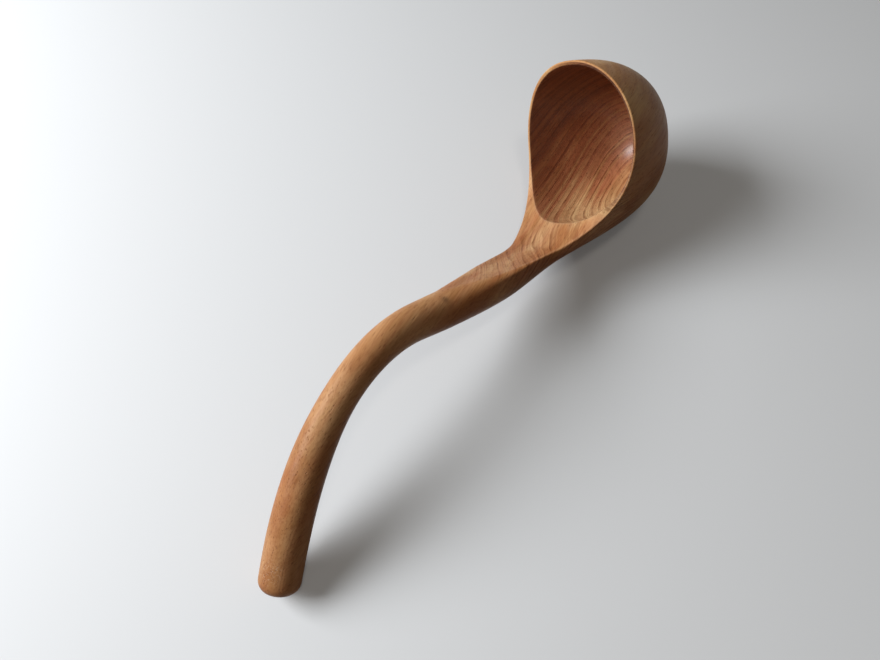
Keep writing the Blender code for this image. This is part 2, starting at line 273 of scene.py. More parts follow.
def rear_loft(sizes, neck, count):
    """Sections from the bowl's middle to the neck: one cubic curve for the face, one for the back.

    At a share r of the way the width blends by 3 r^2 - 2 r^3, and leaves the neck at the narrowing slope.
    """
    _, along = centre_line(sizes, np.zeros(1))
    along = along[0]
    r = np.linspace(0.0, 1.0, count + 1)
    rim = np.array([0.0, 0.0])
    bottom = np.array([sizes.bottom_offset, -sizes.bowl_depth])
    ahead = np.array([1.0, 0.0])
    face_handles = (rim + FACE_LENGTH_AT_BOWL * ahead, neck.face[0] - FACE_LENGTH_AT_NECK * along)
    face = bezier((rim, neck.face[0]), face_handles, r)
    back_handles = (bottom + BACK_LENGTH_AT_BOWL * ahead, neck.back[0] - BACK_LENGTH_AT_NECK * along)
    back = bezier((bottom, neck.back[0]), back_handles, r)
    start = sizes.opening_half_width + sizes.rim_at_side
    there = 3 * r**2 - 2 * r**3
    width = start * (1 - there) + neck.half_width[0] * there
    width = width - 3 * FACE_LENGTH_AT_NECK * NECK_NARROWING_SLOPE * (r**3 - r**2)
    flat = width * (1 - (1 - neck.half_flat[0] / neck.half_width[0]) * r**3)
    added = REAR_FULLNESS_ADDED * 4 * r * (1 - r)
    fullness = SIDE_FULLNESS + (HANDLE_FULLNESS - SIDE_FULLNESS) * r + added
    return Loft(face, back, width, flat, fullness, np.ones(count + 1))


def side_turns():
    """Angles down the side, closer together near the edge: 90 degrees * share^crowding."""
    return np.linspace(0.0, 1.0, SIDE_STEPS + 1) ** SIDE_CROWDING * math.pi / 2


def half_sections(loft, radius):
    """Across and down along half of each section: flat, quarter-ellipse shoulder, superellipse side."""
    depth = np.linalg.norm(loft.back - loft.face, axis=1)
    share = loft.half_flat / loft.half_width
    least_width = np.minimum(radius, LARGEST_ROUNDING * loft.half_width)
    least_drop = np.minimum(radius, LARGEST_ROUNDING * depth)
    shoulder_width = np.maximum(loft.half_width - loft.half_flat, least_width)
    shoulder_drop = np.maximum(depth / 2 * (1 - share), least_drop)
    flat = loft.half_width - shoulder_width
    arc = math.pi / 2 * np.hypot(shoulder_width, shoulder_drop) / math.sqrt(2)
    k = np.arange(FLAT_STEPS + SHOULDER_STEPS)[None]
    past = np.maximum(k - FLAT_STEPS, 0)
    crowded = flat[:, None] * (k - past) / FLAT_STEPS + arc[:, None] * past / SHOULDER_STEPS
    even = (flat + arc)[:, None] * k / (FLAT_STEPS + SHOULDER_STEPS)
    weight = loft.crowding[:, None]
    along = weight * crowded + (1 - weight) * even
    turn = np.maximum(along - flat[:, None], 0.0) / arc[:, None] * math.pi / 2
    across = np.minimum(along, flat[:, None]) + shoulder_width[:, None] * np.sin(turn)
    down = shoulder_drop[:, None] * (1 - np.cos(turn))
    turns = side_turns()[None]
    power = 2 / loft.fullness[:, None]
    side = loft.half_width[:, None] * np.maximum(np.cos(turns), 0.0) ** power
    side[:, -1] = 0.0
    fall = shoulder_drop[:, None] + (depth - shoulder_drop)[:, None] * np.sin(turns) ** power
    return np.hstack([across, side]), np.hstack([down, fall])


def rings_of(loft, radius):
    """Whole sections as a grid of points: from the middle of the face down one side and up the other."""
    across, down = half_sections(loft, radius)
    unit = loft.back - loft.face
    unit = unit / np.linalg.norm(unit, axis=1, keepdims=True)
    plane = loft.face[:, None] + unit[:, None] * down[..., None]
    half = np.stack([plane[..., 0], across, plane[..., 1]], axis=-1)
    other = half[:, -2:0:-1] * (1, -1, 1)
    return np.concatenate([half, other], axis=1)


def grid_faces(rows, columns, start, closed):
    """Four-sided faces of a grid of numbered points, closed round its columns or not."""
    index = start + np.arange(rows * columns).reshape(rows, columns)
    after = np.roll(index, -1, axis=1) if closed else index[:, 1:]
    here = index if closed else index[:, :-1]
    quads = np.stack([here[:-1], after[:-1], after[1:], here[1:]], axis=-1)
    return quads.reshape(-1, 4)


class FaceLine:
    """The carved upper side's line in the plane y = 0, by distance along it.

    Toward the tip it rises by tip height * (x / length)^2, with x itself as its distance. Toward the neck it
    is the rear sections' face line, with the lengths of its steps added up.
    """

    def __init__(self, sizes, rear):
        length = sizes.opening_to_tip + sizes.rim_at_tip
        front = np.linspace(-length, 0.0, FACE_LINE_POINTS)[:-1]
        steps = np.linalg.norm(np.diff(rear.face, axis=0), axis=1)
        self.s = np.concatenate([front, [0.0], np.cumsum(steps)])
        self.x = np.concatenate([front, rear.face[:, 0]])
        self.z = np.concatenate([sizes.tip_height * (front / length) ** 2, rear.face[:, 1]])

    def at(self, s, y, drop=0.0):
        """Points at a distance along the line and across from it, and a drop below it."""
        return np.stack([np.interp(s, self.s, self.x), y, np.interp(s, self.s, self.z) - drop], axis=-1)

    def along(self, x):
        """The distance along the line at an x."""
        return np.interp(x, self.x, self.s)


def opening(sizes, angle, grow):
    """The opening's edge seen square to the rim: two half superellipses, the neck half fuller on one side."""
    toward_tip = np.cos(angle) < 0
    beside_neck = np.where(np.sin(angle) > 0, OPENING_FULLNESS_LEFT, OPENING_FULLNESS_RIGHT)
    fullness = np.where(toward_tip, OPENING_FULLNESS_TIP, beside_neck)
    length = np.where(toward_tip, sizes.opening_to_tip, sizes.opening_to_neck)
    c, s = spread(angle, fullness)
    return (length + grow) * c, (sizes.opening_half_width + grow) * s


def front_outline(sizes, angle):
    """The rim's outer edge round the tip: x = length * C, y = half width * S, with |C|^n + |S|^n = 1."""
    c, s = spread(angle, OPENING_FULLNESS_TIP)
    length = sizes.opening_to_tip + sizes.rim_at_tip
    return length * c, (sizes.opening_half_width + sizes.rim_at_side) * s


def bowl_front(sizes, angle):
    """The outside of the bowl round the tip, as lines from the rim's flat to the bowl's lowest point.

    A line keeps its direction seen square to the rim. At a share rho of the way out, with c = rho * C,
    the side's share is (1 - (y / width(c))^m)^(1/m), and the depth there is depth * (1 - c^n)^(1/n).
    """
    length = sizes.opening_to_tip + sizes.rim_at_tip
    half_width = sizes.opening_half_width + sizes.rim_at_side
    whole = math.hypot(sizes.bottom_offset, sizes.bowl_depth)
    edge_x, edge_y = front_outline(sizes, angle)
    reach = np.hypot(edge_x, edge_y)
    turn = np.linspace(0.0, math.pi / 2, SHOULDER_STEPS + 1)[:-1]
    inset = 1 - sizes.edge_radius * (1 - np.sin(turn))[:, None] / reach[None]
    drop = sizes.edge_radius * (1 - np.cos(turn))[:, None] / whole
    x = edge_x * inset
    y = edge_y * inset
    c = x / length
    shoulder_x = x + sizes.bottom_offset * (1 - c**2) * drop
    shoulder_z = sizes.tip_height * c**2 - sizes.bowl_depth * drop
    shoulder = np.stack([shoulder_x, y, shoulder_z], axis=-1)

    rho = np.maximum(np.cos(side_turns()), 0.0)[:, None] ** (2 / SIDE_FULLNESS)
    rho[-1] = 0.0
    c = np.abs(rho * edge_x / length)
    width = np.maximum(half_width * superellipse(c, OPENING_FULLNESS_TIP), LEAST_WIDTH)
    beside = np.clip(rho * np.abs(edge_y) / width, 0.0, 1.0)
    beside[0] = 1.0
    share = superellipse(beside, SIDE_FULLNESS)
    first = sizes.edge_radius / whole
    share_x = first + (1 - first) * share
    share_z = first + (1 - first) * share * superellipse(c, TIP_FULLNESS)
    side_x = rho * edge_x + sizes.bottom_offset * (1 - c**2) * share_x
    side_z = sizes.tip_height * c**2 - sizes.bowl_depth * share_z
    side = np.stack([side_x, rho * edge_y, side_z], axis=-1)
    return np.concatenate([shoulder, side])


def bowl_inside(sizes, line, edge_s, edge_y, angle):
    """The rim's flat, the lip and the hollow, as lines from the flat's outer edge to the hollow's floor.

    The flat is a straight blend in distance along the face line and across. The lip is a quarter circle.
    At a share d of the way down the hollow its outline has shrunk to (1 - d^n)^(1/n) and has moved toward
    the neck by d * bottom offset.
    """
    blend = np.arange(RIM_FLAT_ROWS)[:, None] / RIM_FLAT_ROWS
    x, y = opening(sizes, angle, sizes.lip_radius)
    s = line.along(x)
    rows = [line.at(edge_s * (1 - blend) + s * blend, edge_y * (1 - blend) + y * blend)]
    for turn in np.radians(np.linspace(90.0, 0.0, LIP_ROWS)):
        x, y = opening(sizes, angle, sizes.lip_radius * (1 - math.cos(turn)))
        rows.append(line.at(line.along(x), y, sizes.lip_radius * (1 - math.sin(turn)))[None])
    down = np.sin(np.linspace(0.0, math.pi / 2, HOLLOW_ROWS + 1)[1:])[:, None]
    x, y = opening(sizes, angle, 0.0)
    c = np.cos(angle)
    toward_end = np.where(c < 0, HOLLOW_FULLNESS_TIP, HOLLOW_FULLNESS_NECK)
    fullness = HOLLOW_FULLNESS_SIDE + (toward_end - HOLLOW_FULLNESS_SIDE) * c * c
    left = superellipse(down, fullness[None])
    left[-1] = 0.0
    top = line.at(line.along(x), y, sizes.lip_radius)
    floor = sizes.floor_thickness - sizes.bowl_depth
    hollow_x = x * left + sizes.bottom_offset * down
    hollow_z = top[:, 2] * (1 - down) + floor * down
    rows.append(np.stack([hollow_x, y * left, hollow_z], axis=-1))
    return np.concatenate(rows)


def laid_down():
    """The ladle's place on the table, as a matrix from its own frame."""
    turn = Matrix.Rotation(math.radians(YAW), 4, "Z") @ Matrix.Rotation(math.radians(-LEAN), 4, "X")
    turn = turn @ Matrix.Rotation(math.radians(PITCH), 4, "Y") @ Matrix.Rotation(math.pi, 4, "Z")
    return Matrix.Translation(PLACE) @ turn


def edge_round_neck(sizes, line, rear, rear_rings):
    """The flat's outer edge from one side of the bowl round the neck's end to the other.

    It is given by distance along the face line and across, each with the angle of the opening's edge point
    that lies at the same bearing from the opening's middle.
    """
    steps = line.along(rear.face[:, 0])
    ridge = rear_rings[:, FLAT_STEPS, 1]
    one_side = rear_rings[-1, 1:FLAT_STEPS, 1]
    neck_end = np.concatenate([-one_side[::-1], [0.0], one_side])
    edge_s = np.concatenate([steps[1:], np.full(len(neck_end), steps[-1]), steps[:0:-1]])
    edge_y = np.concatenate([-ridge[1:], neck_end, ridge[:0:-1]])
    fine = np.radians(np.linspace(-90.0, 90.0, FINE_STEPS + 1))
    x, y = opening(sizes, fine, sizes.lip_radius)
    bearing = np.arctan2(y, line.along(x))
    return edge_s, edge_y, np.interp(np.arctan2(edge_y, edge_s), bearing, fine)


# Nearness to an edge, for edges painted lighter: partly wear, partly a painted highlight
def wear_and_highlight(grid, edge):
    """How near each point is to an edge: e^(-distance / reach)."""
    return np.exp(-np.linalg.norm(grid - edge, axis=-1) / WEAR_AND_HIGHLIGHT_REACH)


def inside_masks(sizes, inside):
    """Shares from 0 to 1 over the flat, lip and hollow: worn edges that are partly a painted highlight, the
    hollow together with the painted shade on the rim's flat, and that painted shade alone.

    The hollow's share rises over the lip. The painted shade on the rim is (wide - width) / (wide - thin) of
    its flat, times a share that grows with y, and fades where the hollow's rises.
    """
    lip = inside[LIP_MIDDLE]
    has_ridge = np.ones(inside.shape[1])
    neck_end = TIP_STEPS + 1 + REAR_STEPS
    has_ridge[neck_end : neck_end + 2 * FLAT_STEPS - 1] = 0.0
    edge = np.maximum(has_ridge * wear_and_highlight(inside, inside[:1]), wear_and_highlight(inside, lip[None]))
    width = np.linalg.norm(inside[0] - lip, axis=-1)
    thin = np.clip((UNSHADED_FLAT - width) / (UNSHADED_FLAT - FULLY_SHADED_FLAT), 0.0, 1.0)
    across = inside[0, :, 1] / sizes.opening_half_width
    # Painted shade on the rim's narrow flat, darker toward the fuller side of the opening
    painted_shade = (thin * np.clip(PAINTED_SHADE_AT_MIDDLE + PAINTED_SHADE_GROWTH * across, 0.0, 1.0))[None]
    into = np.clip((np.arange(len(inside)) - RIM_FLAT_ROWS - 1) / (LIP_ROWS - 2), 0.0, 1.0)[:, None]
    # The hollow's share takes in the painted shade too, so the shaded rim flat gets the inside's colours
    return edge, np.maximum(into, painted_shade), (1 - into) * painted_shade


def ladle_surface(sizes):
    """All points, faces and masks of the ladle: front of the bowl, its inside, its rear, handle and end."""
    straight = np.linspace(0.0, sizes.handle_length - sizes.end_radius, HANDLE_ROWS)
    turn = np.linspace(0.0, math.pi / 2, END_STEPS + 1)[1:]
    rounding = sizes.handle_length - sizes.end_radius * (1 - np.sin(turn))
    handle = handle_loft(sizes, np.concatenate([straight, rounding]))
    rear = rear_loft(sizes, handle, REAR_STEPS)
    line = FaceLine(sizes, rear_loft(sizes, handle, FINE_STEPS))

    handle_rings = rings_of(handle, sizes.edge_radius)
    rear_rings = rings_of(rear, sizes.edge_radius)
    rear_rings[-1] = handle_rings[0]
    last_ridge = handle_rings.shape[1] - FLAT_STEPS
    open_rear = rear_rings[:, FLAT_STEPS : last_ridge + 1]

    angle = np.radians(np.linspace(90.0, 270.0, TIP_STEPS + 1))
    front = bowl_front(sizes, angle)
    rear_s, rear_y, rear_angle = edge_round_neck(sizes, line, rear, rear_rings)
    edge_s = np.concatenate([front[0, :, 0], rear_s])
    edge_y = np.concatenate([front[0, :, 1], rear_y])
    inside = bowl_inside(sizes, line, edge_s, edge_y, np.concatenate([angle, rear_angle]))

    end = handle_rings[-1:]
    middle = end.mean(axis=1, keepdims=True)
    cap = middle + (end - middle) * np.linspace(1.0, 0.0, CAP_STEPS + 1)[:, None, None]

    rear_edges = np.maximum(wear_and_highlight(open_rear, open_rear[:, :1]), wear_and_highlight(open_rear, open_rear[:, -1:]))
    fading = (handle.half_flat / handle.half_width)[:, None]
    ridges = [wear_and_highlight(handle_rings, handle_rings[:, k : k + 1]) for k in (FLAT_STEPS, last_ridge)]
    inside_edge, hollow, rim = inside_masks(sizes, inside)
    grids = (
        (front, False, (wear_and_highlight(front, front[:1]),)),
        (inside, True, (inside_edge, hollow, rim)),
        (open_rear, False, (rear_edges,)),
        (handle_rings, True, (fading * np.maximum(*ridges),)),
        (cap, True, ()),
    )
    points = []
    faces = []
    marks = []
    count = 0
    for grid, closed, masks in grids:
        rows, columns = grid.shape[:2]
        faces.append(grid_faces(rows, columns, count, closed))
        points.append(grid.reshape(-1, 3))
        filled = np.zeros((rows * columns, len(MASKS)))
        for column, mask in enumerate(masks):
            filled[:, column] = mask.reshape(-1)
        marks.append(filled)
        count += rows * columns
    return np.concatenate(points), np.concatenate(faces), np.concatenate(marks)


def weld(points, faces, marks):
    """Gives points at one place one number, and drops the edges and faces that this leaves without a size."""
    keys = np.round(points / WELD_GRID).astype(np.int64)
    _, first, number = np.unique(keys, axis=0, return_index=True, return_inverse=True)
    faces = number.reshape(-1)[faces]
    keep = faces != np.roll(faces, 1, axis=1)
    sides = keep.sum(axis=1)
    whole = sides > 2
    return points[first], faces[whole][keep[whole]], sides[whole], marks[first]


def make_mesh(name, points, corners, sides):
    """Fills a mesh from arrays of points, face corners and numbers of sides."""
    mesh = bpy.data.meshes.new(name)
    mesh.vertices.add(len(points))
    mesh.vertices.foreach_set("co", points.astype(np.float32).ravel())
    mesh.loops.add(len(corners))
    mesh.loops.foreach_set("vertex_index", corners.astype(np.int32))
    mesh.polygons.add(len(sides))
    starts = np.concatenate([[0], np.cumsum(sides)[:-1]])
    mesh.polygons.foreach_set("loop_start", starts.astype(np.int32))
    mesh.update(calc_edges=True)
    mesh.validate()
    mesh.shade_smooth()
    return mesh


def place_object(name, mesh):
    obj = bpy.data.objects.new(name, mesh)
    bpy.context.scene.collection.objects.link(obj)
    return obj


def turn_outward(mesh):
    """Turns every face of a closed surface outward."""
    bm = bmesh.new()
    bm.from_mesh(mesh)
    bmesh.ops.recalc_face_normals(bm, faces=bm.faces)
    bm.to_mesh(mesh)
    bm.free()


def mark_points(mesh, name, values):
    """Keeps one value per point for the wood to read."""
    values = np.ascontiguousarray(values, dtype=np.float32)
    mesh.attributes.new(name, "FLOAT", "POINT").data.foreach_set("value", values)


def end_grain_of(mesh):
    """How far each point faces along the fibres: |normal . fibre direction|, from 0 to 1."""
    normals = np.empty(len(mesh.vertices) * 3, dtype=np.float32)
    mesh.vertices.foreach_get("normal", normals)
    fibres = np.array(log_turn().inverted() @ Vector((0.0, 0.0, 1.0)), dtype=np.float32)
    return np.abs(normals.reshape(-1, 3) @ fibres)


class WoodLook(bpy.types.PropertyGroup):
    """Colours and finish of the wood."""

    pale: colour_setting("Pale wood", "Palest colour of the golden wood", (0.54, 0.325, 0.150))
    golden: colour_setting("Golden wood", "Usual colour of the golden wood", (0.37, 0.183, 0.066))
    red: colour_setting("Red wood", "Colour of the redder heart wood", (0.42, 0.172, 0.080))
    # Dark wood: the darkest heart wood, also laid on as painted shade on the bowl's inner wall that faces
    # away from the window
    dark: colour_setting("Dark wood", "Colour of the darkest heart wood", (0.17, 0.062, 0.036))
    ring_width: length_setting("Ring width", "Growth of the tree in one year", 0.0023)
    ring_depth: share_setting("Ring strength", "How dark the late wood of each ring is", 0.90)
    roughness: share_setting("Roughness", "Dullness of the oiled wood", 0.40)


class StageLook(bpy.types.PropertyGroup):
    """Colour of the floor and strength of the light."""

    floor: colour_setting("Floor", "Colour of the plain floor", (0.56, 0.565, 0.56))
    floor_bounce: colour_setting("Floor's light", "Colour that the floor throws back", (0.13, 0.068, 0.034))
    backdrop: colour_setting("Backdrop", "Colour of the room behind", (0.50, 0.52, 0.53))
    window: power_setting("Window", "Power of the large soft light at the side", 21.5)
    ceiling: power_setting("Ceiling", "Power of the weak light above", 1.1)
    room: share_setting("Room", "Strength of the even light all round", 0.04)


class Pattern(NamedTuple):
    """Noise by its scale, detail and roughness, its pull, and the values where its marks begin and are full.

    A pull under 1 draws the noise out along the fibres.
    """

    scale: float
    detail: float = 2.0
    roughness: float = 0.5
    pull: float = 1.0
    low: float = 0.0
    high: float = 1.0


class Shade(NamedTuple):
    """A colour, and the most of it that is laid on."""

    share: float
    colour: tuple


# The mix node's sockets for colours, and the middle of a noise's values
MIX_SHARE = 0
MIX_FIRST = 6
MIX_SECOND = 7
MIX_RESULT = 2
NOISE_MIDDLE = 0.5


class NodeBench:
    """Places and joins the nodes of one tree."""

    def __init__(self, tree):
        self.tree = tree

    def place(self, kind, feeds, **settings):
        node = self.tree.nodes.new(kind)
        for name, value in settings.items():
            setattr(node, name, value)
        for key, value in feeds.items():
            if isinstance(value, bpy.types.NodeSocket):
                self.tree.links.new(value, node.inputs[key])
            else:
                node.inputs[key].default_value = value
        return node

    def math(self, operation, a, b=0.0):
        return self.place("ShaderNodeMath", {0: a, 1: b}, operation=operation).outputs[0]

    def plus(self, a, b):
        return self.math("ADD", a, b)

    def minus(self, a, b):
        return self.math("SUBTRACT", a, b)

    def times(self, a, b):
        return self.math("MULTIPLY", a, b)

    def most(self, a, b):
        return self.math("MAXIMUM", a, b)

    def between(self, low, high, share):
        """low at a share of 0 and high at 1: share * (high - low) + low."""
        return self.plus(self.times(share, high - low), low)

    def vector_math(self, operation, a, b):
        return self.place("ShaderNodeVectorMath", {0: a, 1: b}, operation=operation)

    def rise(self, value, start, full):
        """A smooth step from 0 at the start to 1 where it is full, which may lie on either side."""
        feeds = {"Value": value, "From Min": start, "From Max": full}
        return self.place("ShaderNodeMapRange", feeds, interpolation_type="SMOOTHSTEP").outputs["Result"]

    def stretch(self, vector, x, y, z):
        return self.vector_math("MULTIPLY", vector, (x, y, z)).outputs[0]

    def noise(self, vector, pattern):
        """A pattern's raw noise in space."""
        feeds = {"Vector": self.stretch(vector, 1, 1, pattern.pull), "Scale": pattern.scale}
        feeds.update({"Detail": pattern.detail, "Roughness": pattern.roughness})
        return self.place("ShaderNodeTexNoise", feeds).outputs["Fac"]

    def bands(self, value, pattern):
        """A pattern's raw noise along one value."""
        feeds = {"W": value, "Scale": pattern.scale, "Detail": pattern.detail}
        return self.place("ShaderNodeTexNoise", feeds, noise_dimensions="1D").outputs["Fac"]

    def marks(self, raw, pattern):
        """1 where raw noise is high and 0 where it is low."""
        return self.rise(raw, pattern.low, pattern.high)

    def near(self, vector, place, reach, core):
        """1 within a core around a place, falling smoothly to 0 at its reach."""
        gap = self.vector_math("DISTANCE", vector, place).outputs["Value"]
        return self.rise(gap, reach, core)

    def waver(self, vector, scale, reach):
        """A smooth shift of up to half of reach each way."""
        feeds = {"Vector": vector, "Scale": scale, "Detail": WAVER_DETAIL}
        cloud = self.place("ShaderNodeTexNoise", feeds).outputs["Color"]
        even = self.vector_math("SUBTRACT", cloud, (NOISE_MIDDLE,) * 3).outputs[0]
        return self.place("ShaderNodeVectorMath", {0: even, "Scale": reach}, operation="SCALE").outputs[0]

    def attribute(self, name):
        return self.place("ShaderNodeAttribute", {}, attribute_name=name).outputs["Fac"]

    def blend(self, share, first, second, mode="MIX"):
        feeds = {MIX_SHARE: share, MIX_FIRST: first, MIX_SECOND: second}
        return self.place("ShaderNodeMix", feeds, data_type="RGBA", blend_type=mode).outputs[MIX_RESULT]

    def darken(self, mask, colour, shade):
        """Multiplies a shade into a colour, by its share of a mask."""
        return self.blend(self.times(mask, shade.share), colour, (*shade.colour, 1.0), "MULTIPLY")

    def cover(self, mask, colour, shade):
        """Lays a shade over a colour, by its share of a mask."""
        return self.blend(self.times(mask, shade.share), colour, (*shade.colour, 1.0))


# The log that the ladle was cut from: the run of its fibres in degrees, and a point on its middle line
FIBRE_AZIMUTH = 6.6
FIBRE_ELEVATION = -6.8
LOG_MIDDLE = (0.090, -0.042, 0.005)

# Stretches of the log along its fibres, from where an effect starts to where it is full, in metres
SWELL_ALONG = (-0.098, -0.012)
HEART_ALONG = (-0.050, 0.0)
TIP_ALONG = (0.0, 0.045)
NECK_BEGINS = (-0.105, -0.065)
NECK_ENDS = (0.010, -0.015)
PALE_ALONG = (0.030, -0.004)
HANDLE_ALONG = (0.0, -0.030)
DARK_AND_SHADED_ALONG = (-0.030, 0.020)
# Painted light: where the top of the bowl's outside is painted paler
PAINTED_LIGHT_ALONG = (-0.030, 0.0)
HELD_ALONG = (-0.125, -0.165)

# The same outward from the log's middle
HEART_OUT = (0.034, 0.056)
PALE_OUT = (0.047, 0.030)
DARK_AND_SHADED_OUT = (0.050, 0.074)
PAINTED_LIGHT_OUT = (0.060, 0.076)

# Wavers of the rings: the pull, scale and reach of each
WAVERS = ((0.35, 17.0, 0.012), (0.3, 110.0, 0.0008))
WAVER_DETAIL = 1.5

# How far the log swells, how many years uneven growth adds at most, and the weakest ring's strength
SWELL = 0.0135
UNEVEN_GROWTH = Pattern(scale=160.0)
UNEVEN_YEARS = 1.8
WEAKEST_RING = 0.2

# Shares of a year over which its late wood begins and ends
LATE_WOOD_BEGINS = (0.30, 0.92)
LATE_WOOD_ENDS = (1.0, 0.93)

# Patterns across the rings, and in space
BROAD_BANDS = Pattern(scale=230.0, detail=1.5, low=0.38, high=0.62)
FINE_LINES = Pattern(scale=1500.0, detail=3.0, low=0.35, high=0.75)
PATCHES = Pattern(scale=70.0, detail=2.5, pull=0.25, low=0.36, high=0.66)
MOTTLE = Pattern(scale=55.0, detail=3.0, pull=0.45, low=0.42, high=0.60)
BREAKS = Pattern(scale=260.0, pull=0.12, low=0.30, high=0.62)
FIBRES = Pattern(scale=1100.0, detail=3.0, roughness=0.65, pull=0.06, low=0.42, high=0.70)
HAND_WORK = Pattern(scale=110.0, detail=1.0, pull=0.5)
SPECKS = Pattern(scale=1400.0, detail=1.0, low=0.55, high=0.66)

# Pores: their cells' scale and pull, the distance where a pore's edge fades, and which of the cells have one
PORE_SCALE = 1100.0
PORE_PULL = 0.14
PORE_EDGE = (0.30, 0.14)
PORES_KEPT = (0.25, 0.65)

# How red the wood is in each place, and how much of the red of tip and heart the outside keeps
RED_AT_TIP = 0.75
RED_IN_HEART = 0.95
RED_ON_HANDLE = 0.20
RED_ALL_OVER = 0.10
RED_KEPT_OUTSIDE = 0.25

# Strength of the broad bands in each place, and what they lose in the bowl's pale end, which is partly
# painted light
BANDS_IN_BOWL = 0.70
BANDS_LOST_WHERE_PALE = 0.50
BANDS_ON_NECK = 0.30
BANDS_ALL_OVER = 0.15

# The darkest wood, partly painted shade, between the broad bands and in them
DARK_BETWEEN_BANDS = 0.60
DARK_IN_BANDS = 0.95

# How far rings and fine lines show in each place
LINES_ON_NECK = 0.75
LINES_ON_HANDLE = 0.07
LINES_WHERE_BROKEN = 0.3
FINE_LINES_LEAST = 0.10
FINE_LINES_MOST = 0.65

# Strength of mottle, fibres and pores on the outside and in the bowl
MOTTLE_OUTSIDE = 0.65
MOTTLE_IN_BOWL = 0.20
FIBRES_OUTSIDE = 0.55
FIBRES_IN_BOWL = 0.50
PORES_OUTSIDE = 0.45
PORES_IN_BOWL = 0.70

# Colours that are multiplied into the wood, as they are or by a share
MOTTLE_COLOUR = (0.74, 0.52, 0.36, 1.0)
RING_COLOUR = (0.42, 0.28, 0.22, 1.0)
FINE_LINE_COLOUR = (0.60, 0.46, 0.40, 1.0)
FIBRE_COLOUR = (0.62, 0.50, 0.44, 1.0)
PORE_COLOUR = (0.40, 0.28, 0.22, 1.0)
HELD_SHADE = Shade(0.45, (0.66, 0.56, 0.48))
END_GRAIN_SHADE = Shade(0.50, (0.68, 0.54, 0.44))
# Painted shade on the rim's narrow flat
PAINTED_RIM_SHADE = Shade(0.85, (0.42, 0.36, 0.33))
END_GRAIN_SHOWS = (0.45, 0.95)

# Colours that are laid over the wood, among them painted light
# Partly pale wood, partly painted light on the bowl's lower inner wall
PALE_WOOD_AND_PAINTED_LIGHT = Shade(0.85, (0.72, 0.48, 0.235))
# Painted light: the top of the bowl's outside painted paler, as if lit from above
PAINTED_LIGHT_ON_TOP = Shade(0.85, (0.68, 0.45, 0.190))
KNOT_SHADE = Shade(0.60, (0.13, 0.055, 0.028))
SPECK_SHADE = Shade(0.35, (0.66, 0.50, 0.35))
# Lighter edges: partly worn wood, partly a painted highlight
WEAR_AND_PAINTED_HIGHLIGHT = Shade(0.14, (0.60, 0.42, 0.26))

# A small knot on the handle and a speckled spot near its end: place, reach and core
KNOT = ((-0.0182, 0.0037, 0.0456), 0.0026, 0.0002)
SPECKLED_SPOT = ((-0.1481, -0.0039, 0.0175), 0.0075, 0.0025)

# What rings, hand work and pores add to the roughness, and the heights of the relief in metres
DULL_RINGS = 0.10
DULL_HAND_WORK = 0.14
DULL_PORES = 0.20
LINE_HEIGHT = -0.00013
PORE_HEIGHT = -0.00010
FIBRE_HEIGHT = 0.00010
HAND_WORK_HEIGHT = 0.00030

# The oil: a thin coat in the bowl, and how the wood itself shines
COAT = 0.70
COAT_ROUGHNESS = 0.33
SHINE = 0.16
SHINE_TINT = (1.0, 0.84, 0.68, 1.0)


def log_turn():
    """Turns the ladle's world so that the log's middle line becomes z."""
    azimuth = math.radians(FIBRE_AZIMUTH)
    elevation = math.radians(FIBRE_ELEVATION)
    level = Matrix.Rotation(-azimuth, 3, "Z")
    return Matrix.Rotation(elevation - math.pi / 2, 3, "Y") @ level


